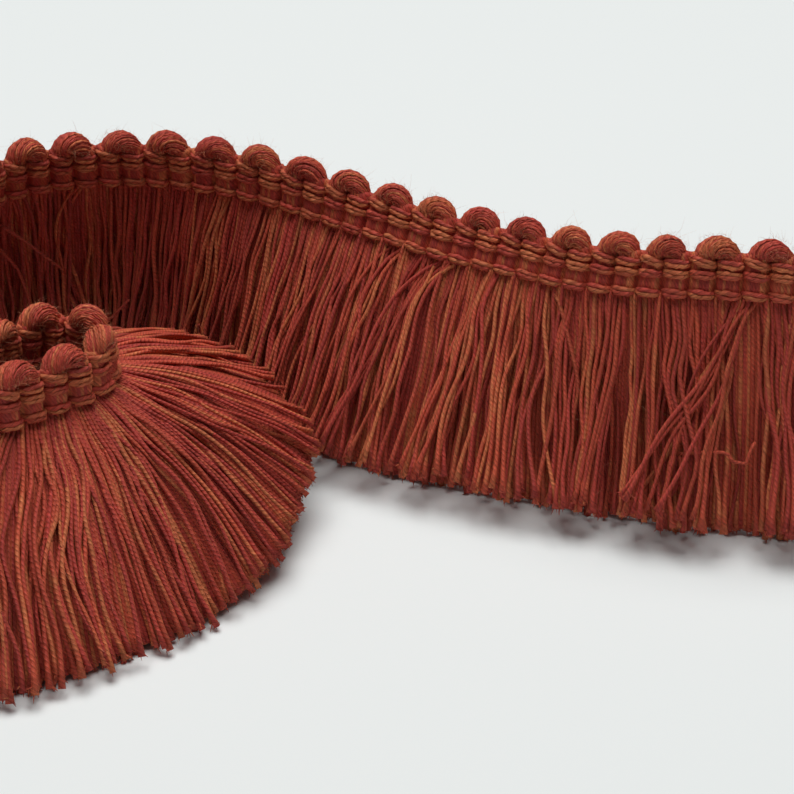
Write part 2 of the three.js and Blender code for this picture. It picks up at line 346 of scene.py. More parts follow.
def ring_faces(count, stations, sides):
    """Four-sided faces of tubes that are rings of points. Also gives the tube of each face, and the
    station and side of each of its corners."""
    tube, station, side = (places.reshape(-1, 1) for places in np.meshgrid(
        np.arange(count), np.arange(stations - 1), np.arange(sides), indexing="ij"))
    corner_station = station + (0, 0, 1, 1)
    corner_side = side + (0, 1, 1, 0)
    faces = (tube * stations + corner_station) * sides + corner_side % sides
    return faces, tube, corner_station, corner_side


def tubes(paths, radii, facing, sides, draws, capped=True, across=(0.0, 1.0)):
    """A new cloth with a tube along each path. facing is a direction across each path, and across
    the part of the bake map's width to fill. The yarn map holds how far round and how far along."""
    count, stations = paths.shape[:2]
    along = unit(np.gradient(paths, axis=1))
    sideways = unit(np.cross(along, np.broadcast_to(facing, paths.shape)))
    outward = np.cross(sideways, along)
    turn = np.linspace(0, 2 * math.pi, sides, endpoint=False)
    radii = np.broadcast_to(radii, (count, stations))[..., None, None]
    ring = sideways[:, :, None] * np.cos(turn)[:, None] + outward[:, :, None] * np.sin(turn)[:, None]
    points = paths[:, :, None] + ring * radii
    steps = np.linalg.norm(np.diff(paths, axis=1), axis=2)
    length = np.concatenate([np.zeros((count, 1)), np.cumsum(steps, axis=1)], 1)
    end = np.maximum(length[:, -1:], 1e-6)

    faces, tube, corner_station, corner_side = ring_faces(count, stations, sides)
    round_share = corner_side / sides
    lay = length[tube, corner_station]
    girth = float(2 * math.pi * radii.mean())
    corner, cell = cells(count, girth, float(length[:, -1].mean()))
    squeeze = np.array((across[1] - across[0], 1.0))
    corner = np.array((across[0], 0.0)) + corner * squeeze
    cell = cell * squeeze
    inside = np.stack([
        CELL_MARGIN + (1 - 2 * CELL_MARGIN) * round_share,
        (1 - CAP_SHARE) * (CELL_START + CELL_LENGTH * lay / end[tube, 0]),
    ], -1)
    draws = np.repeat(draws, stations * sides, axis=0)
    cloth = Cloth()
    cloth.add(points, draws, faces, np.stack([round_share, lay], -1), corner[tube] + cell * inside)
    for last in (False, True) if capped else ():
        ring_start = (np.arange(count) * stations + (stations - 1) * last) * sides
        order = np.arange(sides) if last else np.arange(sides)[::-1]
        middle = np.array((CAP_FIRST + CAP_APART * last, 1 - CAP_SHARE / 2))
        spread = np.stack([CAP_WIDTH * np.cos(turn[order]),
                           CAP_HEIGHT * CAP_SHARE * np.sin(turn[order])], 1)
        bake = corner[:, None] + cell * (middle + spread)
        cap_lay = length[:, -1 if last else 0][:, None]
        places = np.stack(np.broadcast_arrays(turn[order] / (2 * math.pi), cap_lay), -1)
        cloth.add_faces(ring_start[:, None] + order, places, bake)
    return cloth


def hairs(kind, starts, directions, lengths, rng):
    """A new cloth with fine bent fibres that taper to their ends. kind has their curl and radius."""
    count = len(starts)
    share = np.linspace(0, 1, HAIR_STEPS + 1)
    bend = unit(np.cross(directions, rng.normal(size=(count, 3)))) * (kind.curl * lengths)[:, None]
    paths = starts[:, None] + directions[:, None] * (lengths[:, None] * share)[..., None]
    paths = paths + bend[:, None] * (share**2)[:, None]
    radii = kind.radius * (1 - HAIR_TAPER * share)[None] * rng.uniform(*HAIR_THICKNESS, (count, 1))
    facing = unit(rng.normal(size=(count, 1, 3)))
    paths[..., 2] = np.maximum(paths[..., 2], kind.radius)
    return tubes(paths, radii, facing, HAIR_SIDES, rng.uniform(size=(count, 3)), capped=False)


# Look of the yarn. Each pair is what a soft change runs from and to.
PLY_ROUNDNESS = 0.6
PLY_EDGE = 0.5
NOISE_RANGE = (0.3, 0.7)
STREAK_STEP = 97.0
DRIFT_STEP = 53.0
DRIFT_PER_MM = 0.13
DRIFT_IN_TONE = 0.25
WINE_TO_BRICK = (0.15, 0.75)
COPPER_EDGE = 0.12
COPPER_IN_PLY = (0.65, 1.0)
STREAK_SHADE = (0.7, 1.22)
# Painted shade: the yarn's colour darkens in the grooves between its plies, where the twist is low.
GROOVE_SHADE_DEPTH = 0.7
PAINTED_GROOVE_SHADE = (0.6, 1.0)
YARN_SHADE = (0.88, 1.12)
YARN_ROUGHNESS = (0.85, 0.62)
STREAK_RELIEF = 0.25
YARN_SHINE = 0.4
SHEEN_ROUGHNESS = 0.35


def linear(red, green, blue):
    """A colour given as it looks on a screen, from 0 to 255, as the light it stands for."""
    values = [channel / 255 for channel in (red, green, blue)]
    return tuple(v / 12.92 if v <= 0.04045 else ((v + 0.055) / 1.055) ** 2.4 for v in values)


class Wiring:
    """Adds nodes to a tree and joins them. given holds what feeds a node's inputs, by number or name."""

    def __init__(self, tree):
        self.tree = tree
        tree.nodes.clear()

    def node(self, kind, given=(), **settings):
        made = self.tree.nodes.new(kind)
        for key, value in settings.items():
            setattr(made, key, value)
        for key, value in dict(given).items():
            self.feed(made.inputs[key], value)
        return made

    def feed(self, target, value):
        if isinstance(value, bpy.types.NodeSocket):
            self.tree.links.new(value, target)
        else:
            target.default_value = value

    def maths(self, operation, *values):
        return self.node("ShaderNodeMath", enumerate(values), operation=operation).outputs[0]

    def mix(self, share, first, second, blend="MIX"):
        return self.node("ShaderNodeMix", {0: share, 6: first, 7: second}, data_type="RGBA",
                         blend_type=blend).outputs[2]

    def stretch(self, value, low, high, to_low=0.0, to_high=1.0):
        return self.node("ShaderNodeMapRange", enumerate((value, low, high, to_low, to_high)),
                         interpolation_type="SMOOTHSTEP").outputs[0]

    def group(self, name, given):
        return self.node("ShaderNodeGroup", given, node_tree=bpy.data.node_groups[name]).outputs


def group_tree(name, inputs, outputs):
    """A new node group with its sockets. inputs holds the default of each, a number or a colour."""
    tree = bpy.data.node_groups.new(name, "ShaderNodeTree")
    wiring = Wiring(tree)
    for label, default in inputs.items():
        kind = "NodeSocketColor" if isinstance(default, tuple) else "NodeSocketFloat"
        tree.interface.new_socket(label, in_out="INPUT", socket_type=kind).default_value = default
    for label in outputs:
        kind = "NodeSocketColor" if label == "Color" else "NodeSocketFloat"
        tree.interface.new_socket(label, in_out="OUTPUT", socket_type=kind)
    return wiring, wiring.node("NodeGroupInput").outputs, wiring.node("NodeGroupOutput").inputs


def ply_twist_group():
    """Height and ply of a twisted yarn, from the place on it."""
    wiring, given, out = group_tree(
        "Ply twist", {"Around": 0.0, "Along": 0.0, "Lay": 1.7, "Plies": 2.0, "Phase": 0.0},
        ("Height", "Ply", "Angle"))
    turns = wiring.maths("DIVIDE", given["Along"], given["Lay"])
    place = wiring.maths("ADD", wiring.maths("SUBTRACT", given["Around"], turns), given["Phase"])
    angle = wiring.maths("MULTIPLY", place, 2 * math.pi)
    half_plies = wiring.maths("MULTIPLY", given["Plies"], 0.5)
    wave = wiring.maths("COSINE", wiring.maths("MULTIPLY", angle, half_plies))
    wiring.feed(out["Height"], wiring.maths("POWER", wiring.maths("ABSOLUTE", wave), PLY_ROUNDNESS))
    wiring.feed(out["Ply"], wiring.stretch(wiring.maths("COSINE", angle), -PLY_EDGE, PLY_EDGE))
    wiring.feed(out["Angle"], angle)


def fibre_streaks_group():
    """Fine streaks that run with the fibres, without a seam round the yarn."""
    wiring, given, out = group_tree(
        "Fibre streaks", {"Angle": 0.0, "Along": 0.0, "Fineness": 4.0, "Length": 3.0, "Phase": 0.0},
        ("Streak", "Drift"))
    across = [wiring.maths("MULTIPLY", wiring.maths(wave, given["Angle"]), given["Fineness"])
              for wave in ("COSINE", "SINE")]
    along = wiring.maths("ADD", wiring.maths("DIVIDE", given["Along"], given["Length"]),
                         wiring.maths("MULTIPLY", given["Phase"], STREAK_STEP))
    place = wiring.node("ShaderNodeCombineXYZ", enumerate((*across, along)))
    fine = wiring.node("ShaderNodeTexNoise", {"Vector": place.outputs[0], "Scale": 1.0, "Detail": 2.0})
    wiring.feed(out["Streak"], wiring.stretch(fine.outputs[0], *NOISE_RANGE))
    broad_place = wiring.maths("ADD", wiring.maths("MULTIPLY", given["Along"], DRIFT_PER_MM),
                               wiring.maths("MULTIPLY", given["Phase"], DRIFT_STEP))
    broad = wiring.node("ShaderNodeTexNoise", {"W": broad_place, "Scale": 1.0}, noise_dimensions="1D")
    wiring.feed(out["Drift"], wiring.stretch(broad.outputs[0], *NOISE_RANGE))


def dyed_yarn_and_shade_group():
    """The colour of a yarn: which of three dyed tones it took, its lighter ply and its streaks, with
    painted shade in the grooves between its plies.
    """
    wiring, given, out = group_tree(
        "Dyed yarn and groove shade",
        {"Wine": (0.2, 0.02, 0.02, 1), "Brick": (0.3, 0.05, 0.03, 1), "Copper": (0.4, 0.12, 0.04, 1),
         "Tone": 0.5, "Copper Share": 0.3, "Ply": 0.0, "Streak": 0.5, "Drift": 0.5, "Height": 1.0},
        ("Color",))
    drift = wiring.maths("MULTIPLY", wiring.maths("SUBTRACT", given["Drift"], 0.5), DRIFT_IN_TONE)
    tone = wiring.maths("ADD", given["Tone"], drift)
    red = wiring.mix(wiring.stretch(tone, *WINE_TO_BRICK), given["Wine"], given["Brick"])
    edge = wiring.maths("SUBTRACT", 1.0, given["Copper Share"])
    coppery = wiring.stretch(tone, wiring.maths("SUBTRACT", edge, COPPER_EDGE),
                             wiring.maths("ADD", edge, COPPER_EDGE))
    ply_share = wiring.maths("MULTIPLY", coppery, wiring.stretch(given["Ply"], 0, 1, *COPPER_IN_PLY))
    body = wiring.mix(ply_share, red, given["Copper"])
    # Painted shade: the colour darkens in the grooves between the plies, on top of the streaks' own
    # tone.
    light = wiring.maths("MULTIPLY", wiring.stretch(given["Streak"], 0, 1, *STREAK_SHADE),
                         wiring.stretch(given["Height"], 0.0, GROOVE_SHADE_DEPTH, *PAINTED_GROOVE_SHADE))
    shade = wiring.node("ShaderNodeCombineColor", enumerate((light, light, light)))
    wiring.feed(out["Color"], wiring.mix(1.0, body, shade.outputs[0], "MULTIPLY"))


def yarn_material(name, colours, copper_share, lay, plies, relief, fineness=3.0, sheen=0.55):
    """A twisted, dyed yarn. relief is the depth of its twist in millimetres."""
    material = bpy.data.materials.new(name)
    material.use_nodes = True
    wiring = Wiring(material.node_tree)
    place = wiring.node("ShaderNodeUVMap", uv_map=YARN_MAP).outputs[0]
    around, along = wiring.node("ShaderNodeSeparateXYZ", {0: place}).outputs[:2]
    draws = wiring.node("ShaderNodeAttribute", attribute_name=YARN_DRAWS).outputs["Vector"]
    tone, shade, phase = wiring.node("ShaderNodeSeparateXYZ", {0: draws}).outputs
    twist = wiring.group("Ply twist", {
        "Around": around, "Along": along, "Lay": lay, "Plies": plies, "Phase": phase})
    streaks = wiring.group("Fibre streaks", {
        "Angle": twist["Angle"], "Along": along, "Fineness": fineness, "Phase": shade})
    wine, brick, copper = colours
    dye_and_shade = wiring.group("Dyed yarn and groove shade", {
        "Wine": wine, "Brick": brick, "Copper": copper, "Tone": tone, "Copper Share": copper_share,
        "Ply": twist["Ply"], "Streak": streaks["Streak"], "Drift": streaks["Drift"],
        "Height": twist["Height"]})
    depth = wiring.maths("ADD", twist["Height"],
                         wiring.maths("MULTIPLY", streaks["Streak"], STREAK_RELIEF))
    bump = wiring.node("ShaderNodeBump", {"Strength": 1.0, "Distance": relief * MM, "Height": depth})
    varied = wiring.node("ShaderNodeHueSaturation", {
        "Value": wiring.stretch(shade, 0, 1, *YARN_SHADE), "Color": dye_and_shade[0]})
    surface = wiring.node("ShaderNodeBsdfPrincipled", {
        "Base Color": varied.outputs[0], "Normal": bump.outputs[0],
        "Roughness": wiring.stretch(streaks["Streak"], 0, 1, *YARN_ROUGHNESS),
        "Specular IOR Level": YARN_SHINE, "Sheen Weight": sheen,
        "Sheen Roughness": SHEEN_ROUGHNESS, "Sheen Tint": copper})
    wiring.node("ShaderNodeOutputMaterial", {0: surface.outputs[0]})
    return material


def material_called(name):
    """A yarn material, made when it is first asked for."""
    if name in bpy.data.materials:
        return bpy.data.materials[name]
    if "Ply twist" not in bpy.data.node_groups:
        ply_twist_group()
        fibre_streaks_group()
        dyed_yarn_and_shade_group()
    dyes = bpy.context.scene.fringe_dyes
    tones = (dyes.wine, dyes.brick, dyes.copper)
    # Painted light: the loose fibres take the paler fibre colour, a painted glow for light that shines
    # through them.
    if name == "Loose fibre":
        tones = (dyes.copper, dyes.fibre, dyes.fibre)
    yarn = bpy.context.scene.fringe_yarn
    recipes = {
        "Skirt yarn": dict(copper_share=0.2, lay=yarn.lay / MM, plies=2.0, relief=0.1),
        "Weft yarn": dict(copper_share=0.2, lay=2.4, plies=2.0, relief=0.08),
        "Warp yarn": dict(copper_share=0.45, lay=3.0, plies=2.0, relief=0.12),
        "Gimp cord": dict(copper_share=0.35, lay=2.6, plies=2.0, relief=0.08),
        "Loose fibre": dict(copper_share=0.8, lay=9.0, plies=1.0, relief=0.01, sheen=0.0),
    }
    return yarn_material(name, [(*tone, 1) for tone in tones], **recipes[name])


# Shapes of the heading. WEAVE_HEIGHTS: rows of the sheet's points, up from the lower edge;
# PINCH_HEIGHTS: where rows of warp pull it thinner.
RIB_VALLEY = 0.15
RIB_CREST = 1.5
RIB_RISE = (0.1, 0.8)
RIB_ROUNDNESS = 0.7
WEFTS_PER_RIB = 8
WEFT_RELIEF = 0.13
WEFT_ROUNDNESS = 0.8
WEFT_STEPS = 3
WEAVE_HEIGHTS = (0.0, 0.12, 0.95, 1.7, 2.2, 2.8, 3.4, 4.15, 5.0, 6.0, 7.0, BAND_HEIGHT + 0.5)
PINCH_HEIGHTS = (0.95, 4.15, 6.0)
PINCH_DEPTH = 0.2
PINCH_WIDTH = 0.6
LOWER_EDGE = 0.6
UPPER_EDGE = 0.7

# Where the weave lies in the bake map: in folds one above the other, with both ends at the right,
# whose size is given for each millimetre.
WEAVE_FOLDS = 4
FOLD_LEFT = 0.005
FOLD_WIDTH = 0.98
FOLD_LOW = 0.03
FOLD_HEIGHT = 0.94
END_LEFT = 0.992
END_WIDTH = 0.002
END_HEIGHT = 0.01
END_MIDDLES = (0.3, 0.7)

WARP_RADIUS = 0.4
WARP_SPACING = 0.72
WARP_STEPS = 8
WARP_PROUD = 0.6
WARP_CROSSING = (-0.05, 0.42)
WARP_CLOSED = 0.35
WARP_WAVER = 0.05
WARP_TONES = (0.3, 0.5)
WARP_SIDES = 6


def rib_half(phase):
    """Half the heading's thickness across one rib, phase from 0 to 1."""
    rise = smooth_step(np.abs(np.sin(np.pi * phase)), *RIB_RISE) ** RIB_ROUNDNESS
    return RIB_VALLEY + (RIB_CREST - RIB_VALLEY) * rise


def build_heading_weave():
    """The woven heading: weft yarn packed upright over the ribs, as one closed sheet."""
    rng = np.random.default_rng(SEED)
    wefts = LOBE_COUNT * RIBS_PER_LOBE * WEFTS_PER_RIB
    columns = wefts * WEFT_STEPS + 1
    distance = np.linspace(0, RIBBON.length, columns)
    yarn_place = np.linspace(0, wefts, columns)
    relief = WEFT_RELIEF * np.abs(np.sin(np.pi * yarn_place)) ** WEFT_ROUNDNESS
    heights = np.array(WEAVE_HEIGHTS)
    pinch = np.ones(len(heights))
    for height in PINCH_HEIGHTS:
        pinch -= PINCH_DEPTH * np.exp(-((heights - height) / PINCH_WIDTH) ** 2)
    pinch[0] *= LOWER_EDGE
    pinch[-1] *= UPPER_EDGE
    ring_heights = np.concatenate([heights, heights[::-1]])
    ring_side = np.concatenate([pinch, -pinch[::-1]])
    out = (rib_half(distance / RIBBON.rib_pitch) + relief)[:, None] * ring_side
    points = RIBBON.in_band(np.repeat(distance[:, None], len(ring_heights), 1),
                            np.broadcast_to(ring_heights, out.shape), out)
    size = len(ring_heights)
    faces, _, column, place = ring_faces(1, columns, size)
    girth = np.concatenate([[0], np.cumsum(np.abs(np.diff(np.append(ring_heights, 0))) + 0.1)])
    fold_length = math.ceil((columns - 1) / WEAVE_FOLDS)
    fold = column[:, :1] // fold_length
    bake = np.stack([FOLD_LEFT + FOLD_WIDTH * (column - fold * fold_length) / fold_length,
                     (fold + FOLD_LOW + FOLD_HEIGHT * girth[place] / girth[-1]) / WEAVE_FOLDS], -1)
    draws = rng.uniform(size=(wefts + 1, 3))
    draws[:, 2] = 0
    cloth = Cloth()
    cloth.add(points, np.repeat(draws[yarn_place.astype(int)], size, 0), faces,
              np.stack([yarn_place[column] / 2, girth[place]], -1), bake)
    order = np.arange(size)[::-1]
    for end, middle in zip((0, columns - 1), END_MIDDLES):
        end_points = np.stack([ring_heights, out[end]], 1)[order]
        small = np.stack([END_LEFT + end_points[:, 1] * END_WIDTH,
                          middle + end_points[:, 0] * END_HEIGHT], 1)
        cloth.add_faces((end * size + order)[None], end_points[None], small[None])
        order = order[::-1]
    piece = cloth.build("heading_weave", "Weft yarn", "band_weave", ["heading_band"])


def warp_floats(height, slant, first_rib, yarn_shift):
    """Path of one warp yarn that goes over and under the ribs of one row."""
    distance = np.linspace(0, RIBBON.length, LOBE_COUNT * RIBS_PER_LOBE * WARP_STEPS + 1)
    phase = np.pi * distance / RIBBON.rib_pitch + np.pi * first_rib
    swing = np.sin(phase)
    cover = rib_half(distance / RIBBON.rib_pitch) + WARP_RADIUS * WARP_PROUD
    out = np.sign(swing) * smooth_step(np.abs(swing), *WARP_CROSSING) * cover
    apart = yarn_shift * (WARP_CLOSED + (1 - WARP_CLOSED) * np.abs(swing))
    return RIBBON.in_band(distance, height - slant * np.cos(phase) + apart, out)


def build_warp_rows():
    """The warp yarn that binds the heading, in pairs of strands that twine round each rib."""
    rng = np.random.default_rng(SEED + 1)
    middle = (YARNS_IN_ROW - 1) / 2
    paths = np.stack([warp_floats(*row, (yarn - middle) * WARP_SPACING)
                      for row in WARP_ROWS for yarn in range(YARNS_IN_ROW)])
    paths = paths + rng.normal(0, WARP_WAVER, paths.shape)
    radii = WARP_RADIUS * uneven(rng, paths.shape[:2])
    lowest, extent = WARP_TONES
    draws = rng.uniform(size=(len(paths), 3)) * (extent, 1, 1) + (lowest, 0, 0)
    tubes(paths, radii, (0, 0, 1), WARP_SIDES, draws).build("warp_rows", "Warp yarn", "band_weave")


# Shapes of the scalloped cord. Its turns stand on legs that pass into the ribs at the height
# LEG_END, and it grows fatter between the heights in CORD_SWELLS. LOBE_STRAYS: how far the scallops
# stray from even along the trim, in size, lift and tilt, as deviations. A wave has its turns along
# a strand, its step from strand to strand, and its height.
CORD_RADIUS = 1.8
CORD_THICKNESS = 2.15
LEG_THICKNESS = 1.35
LEG_END = 4.9
TURN_SHARE = 0.242
TURN_FILLED = 0.97
CORD_SWELLS = (6.4, 8.2)
LOBE_STRAYS = (0.12, 0.025, 0.12, 0.07)
CORD_STRANDS = 34
STRAND_STATIONS = 14
STRAND_SIDES = 4
STRAND_RADIUS = 0.22
STRAND_TURN = 4.4
STRAND_TURN_STRAY = 0.5
STRAND_STRAY = 0.07
STRAND_WAVE = (7, 5, 0.06)
STRAND_DEPTH = 0.92
DEPTH_STRAY = 0.02
DEPTH_WAVE = (9, 7, 0.025)
STRAND_TONES = (0.35, 0.75)
TONE_STRAY = 0.15
CORE_SIDES = 12
CORE_SHARE = 0.86
# Painted shade: every core takes this low draw, so it is the deepest tone and a little darker, as the
# shade inside the cord.
CORE_SHADE_DRAW = 0.2

# Shares of the bake map's width: the strands' part, the gap beside it and the cores' part. Then each
# core's margin and width, as shares of its own strip.
STRAND_MAP = 0.9
CORES_GAP = 0.005
CORES_MAP = 0.09
CORE_MARGIN = 0.05
CORE_WIDTH = 0.9


def lobe_places(lobe, rng):
    """Middle, size and tilt of one scallop, with the small unevenness of a real one."""
    along, size, lift, tilt = rng.normal(0, LOBE_STRAYS)
    return SimpleNamespace(middle=(lobe + 0.5) * RIBBON.lobe_pitch + along, size=1 + size,
                           lift=lift, tilt=tilt)


def cord_in_lobe(lobe, share, around, swell):
    """Points of the cord's turn over one scallop. share runs from leg to leg, around goes round the
    cord, and swell is 1 at the cord's own size and 0 at its middle."""
    radius = RIBBON.lobe_pitch * TURN_SHARE * lobe.size
    bend = HEADING_HEIGHT - CORD_RADIUS - radius - lobe.lift
    leg = bend - LEG_END
    arc = math.pi * radius
    walk = share * (arc + 2 * leg) - leg
    angle = np.clip(walk / radius, 0, math.pi)
    below = np.maximum(-walk, 0) + np.maximum(walk - arc, 0)
    aim = np.stack([-np.cos(angle), np.sin(angle)], -1)
    centre_along = -radius * np.cos(angle)
    centre_height = bend + radius * np.sin(angle) - below
    reach = np.where(np.cos(around) > 0, CORD_RADIUS, radius * TURN_FILLED)
    in_plane = np.cos(around) * reach * swell
    along = centre_along + aim[..., 0] * in_plane
    height = centre_height + aim[..., 1] * in_plane
    fat = smooth_step(height, *CORD_SWELLS)
    out = np.sin(around) * (LEG_THICKNESS + (CORD_THICKNESS - LEG_THICKNESS) * fat) * swell
    turned = along + (height - bend) * lobe.tilt
    return RIBBON.in_band(lobe.middle + turned, height - along * lobe.tilt, out)


def waving(wave, share, strand):
    """The waver of the cord's strands along their length."""
    turns, step, height = wave
    return height * np.sin(turns * share + step * strand)


def build_scallop_cord():
    """The scalloped cord: a fat gimp cord of many fine yarns that turns over at each pair of ribs."""
    rng = np.random.default_rng(SEED + 2)
    share = np.linspace(0, 1, STRAND_STATIONS)
    strand = np.arange(CORD_STRANDS)[:, None]
    ring = np.linspace(0, 2 * np.pi, CORE_SIDES, endpoint=False)[:, None]
    paths, facings, draws, cores = [], [], [], []
    for number in range(LOBE_COUNT):
        lobe = lobe_places(number, rng)
        turn = STRAND_TURN + rng.normal(0, STRAND_TURN_STRAY)
        around = 2 * np.pi * strand / CORD_STRANDS + turn * (share - 0.5)
        around = around + rng.normal(0, STRAND_STRAY, (CORD_STRANDS, 1))
        around = around + waving(STRAND_WAVE, share, strand)
        swell = STRAND_DEPTH + rng.normal(0, DEPTH_STRAY, (CORD_STRANDS, 1))
        swell = swell + waving(DEPTH_WAVE, share, strand)
        shares = np.broadcast_to(share, around.shape)
        path = cord_in_lobe(lobe, shares, around, swell)
        paths.append(path)
        facings.append(unit(path - cord_in_lobe(lobe, shares, around, 0.0)))
        own = rng.uniform(size=(CORD_STRANDS, 3))
        tones = rng.uniform(*STRAND_TONES) + rng.normal(0, TONE_STRAY, CORD_STRANDS)
        own[:, 0] = tones.clip(0, 1)
        draws.append(own)
        shares, around = np.broadcast_arrays(share, ring)
        cores.append(cord_in_lobe(lobe, shares, around, CORE_SHARE))
    paths = np.concatenate(paths)
    cloth = tubes(paths, STRAND_RADIUS * uneven(rng, (len(paths), 1)), np.concatenate(facings),
                  STRAND_SIDES, np.concatenate(draws), across=(0.0, STRAND_MAP))
    add_cores(cloth, np.stack(cores))
    cloth.build("scallop_cord_turns", "Gimp cord", "gimp_cord", ["scallop_cord"])


def add_cores(cloth, cores):
    """Adds the inside of each scallop, below its yarns, in the deepest tone and a little darker as
    painted shade.
    """
    count, sides, stations = cores.shape[:3]
    faces, lobe, station, side = ring_faces(count, stations, sides)
    across = (lobe + CORE_MARGIN + CORE_WIDTH * side / sides) / count
    bake = np.stack([STRAND_MAP + CORES_GAP + CORES_MAP * across,
                     CELL_START + CELL_LENGTH * station / (stations - 1)], -1)
    yarn_map = np.stack([side / sides, station / stations], -1)
    draws = np.full((count * stations * sides, 3), CORE_SHADE_DRAW)
    cloth.add(cores.transpose(0, 2, 1, 3), draws, faces, yarn_map, bake)


# Shapes of the skirt. The inner yarn is hidden and fills the skirt evenly, and the outer yarn hangs
# in locks over it, on both faces. Layers run from 0 in the middle to 1 at a face, and falls from 0
# at the band to 1 at the cut.
SKIRT_STATIONS = 17
YARN_SIDES = 4
ROOT_HEIGHT = 0.9
ROOT_DEPTH = 0.95
ROOT_TUCK = 0.8
FOOT_DEPTH = 1.6
SKIRT_DEEP = 40
LIFT_FOR_FLARE = 0.62
FLARE_FROM = 0.75
FLARE_STRAY = (0.85, 1.05)
INNER_PER_MM = 2.9
INNER_LAYER = 0.1
INNER_CROWDING = 1.0
INNER_STRAY = 0.1
INNER_THICKER = 1.15
INNER_SHORTER = 0.8
OUTER_LAYER = 0.3
OUTER_CROWDING = 0.45
OUTER_STRAY = 0.4
THICKNESS_STRAY = 0.09
THICKNESS_RANGE = (0.78, 1.25)
CUT_STRAY = 0.012
MOST_CUT_STRAY = 0.045
CUT_SPLAY = 0.7
CUT_SPLAY_FROM = 0.92
GOLDEN = (math.sqrt(5) - 1) / 2

# How each yarn strays on its own. Each waver has its fewest and most turns and its height, and each
# swell along the trim its wavelength and height.
LEAN_STRAY = 0.35
LEAN_CURVE = 1.3
CROSSING_SHARE = 0.05
CROSSING_LEAN = 3.0
CROSSING_LIFT = 0.7
LIFT_CURVE = 0.7
SIDE_WAVERS = ((0.4, 1.2, 0.32), (1.4, 2.6, 0.2), (2.8, 4.0, 0.08))
DEPTH_WAVERS = ((0.3, 0.9, 0.3), (1.2, 2.4, 0.12))
WAVER_GROWS = (0, 0.3)
SKIRT_SWELLS = ((53, 1.0), (27, 0.7), (12, 0.4))

# Locks that the yarn hangs in, at two sizes. widths: least and most along the trim; lean: how far
# the cut ends stray, as one deviation; draw: the least and most share by which yarn draws in to the
# lock's middle; proud: how far a lock stands before its neighbours; bend: how far it waves;
# cut: how unevenly the locks are cut.
LOCKS = as_rows(("widths", "lean", "draw", "proud", "bend", "cut"), (
    ((2.4, 6.5), 1.8, (0.05, 0.25), 0.4, 0.4, 0.35),
    ((0.9, 2.2), 0.7, (0.2, 0.65), 0.22, 0.35, 0.35),
))
LOCK_LEAN_CURVE = 1.5
LOCK_TURNS = (0.6, 1.6)
LOCK_CLOSES = (0.04, 0.75)
LOCK_OPENS = (0.82, 1)
LOCK_OPENING = 0.3
LOCK_LEAST_CUT = -3
DEPTH_BANDS = (-0.67, -0.33, 0.33, 0.67)

# Bunches of yarn that were pushed aside when the trim was handled: place along the trim, half the
# width, share of the yarn there, side, shift of the cut ends, and how far and where a knee bends
# out. Some are placed and many are drawn, with shifts as deviations.
BUNCHES = [
    (17.2, 2.0, 0.75, 1, 11.5, 0.0, 0.4),
    (15.4, 1.3, 0.8, 1, 1.0, 4.6, 0.33),
    (9.0, 1.4, 0.6, 1, 3.0, 1.5, 0.4),
    (69.5, 2.2, 0.7, 1, 3.0, 4.0, 0.36),
    (74.0, 1.6, 0.6, 1, 5.0, 1.0, 0.4),
    (60.0, 1.4, 0.6, 1, -2.5, 1.0, 0.3),
]
DRAWN = SimpleNamespace(count=70, half_width=(0.7, 1.8), share=(0.3, 0.7), foot_shift=3.0,
                        knee_shift=1.8, knee_fall=(0.25, 0.55))
BUNCH_MOVES = (0.6, 1.15)
BUNCH_LIFT = 0.7

# Single yarns that came loose and lie over the rest: distance along the trim, fall and way out.
STRAY_RADIUS = 0.3
STRAY_FACING = (0.0, -0.6, 0.8)
STRAY_WAVERS = ((1, 3, 0.12),)
STRAY_TONES = (0.3, 0.9)
STRAYS = (
    ((26.7, 0.62, 4.4), (20.3, 0.60, 4.8), (18.2, 0.63, 4.8), (16.4, 0.63, 4.4), (15.2, 0.56, 3.6)),
    ((157.4, 0.10, 1.6), (151.0, 0.26, 3.6), (146.3, 0.40, 3.2), (145.0, 0.46, 2.4)),
    ((158.0, 0.20, 1.6), (153.4, 0.42, 4.2), (151.5, 0.70, 4.2)),
    ((141.5, 0.84, 2.2), (138.0, 0.72, 4.4), (131.9, 0.58, 4.4)),
    ((114.0, 0.74, 2.2), (113.2, 0.65, 4.2), (112.4, 0.60, 5.6)),
    ((105.8, 0.78, 2.2), (104.3, 0.75, 4.2), (102.6, 0.73, 5.2)),
    ((279.4, 0.40, 1.6), (278.4, 0.60, 5.2), (276.8, 0.82, 7.4), (274.1, 0.88, 4.8), (270.8, 0.76, 2.2)),
    ((266.4, 0.50, 2.0), (264.6, 0.60, 3.4), (264.0, 0.66, 3.6), (262.6, 0.69, 3.6), (260.6, 0.72, 2.6)),
)


def rolling(distance, rng, waves):
    """A smooth uneven wave along the trim. waves holds pairs of wavelength and height."""
    total = np.zeros_like(distance)
    for wavelength, height in waves:
        total += height * np.sin(2 * np.pi * distance / wavelength + rng.uniform(0, 2 * np.pi))
    return total


def wavering(count, fall, rng, waves):
    """A smooth waver down each yarn. waves holds the fewest and most turns, and the height."""
    total = np.zeros((count, fall.shape[-1]))
    for fewest, most, height in waves:
        turns = rng.uniform(fewest, most, (count, 1))
        phase = 2 * np.pi * (turns * fall + rng.uniform(size=(count, 1)))
        total += rng.normal(0, height, (count, 1)) * np.sin(phase)
    return total * smooth_step(fall, *WAVER_GROWS)


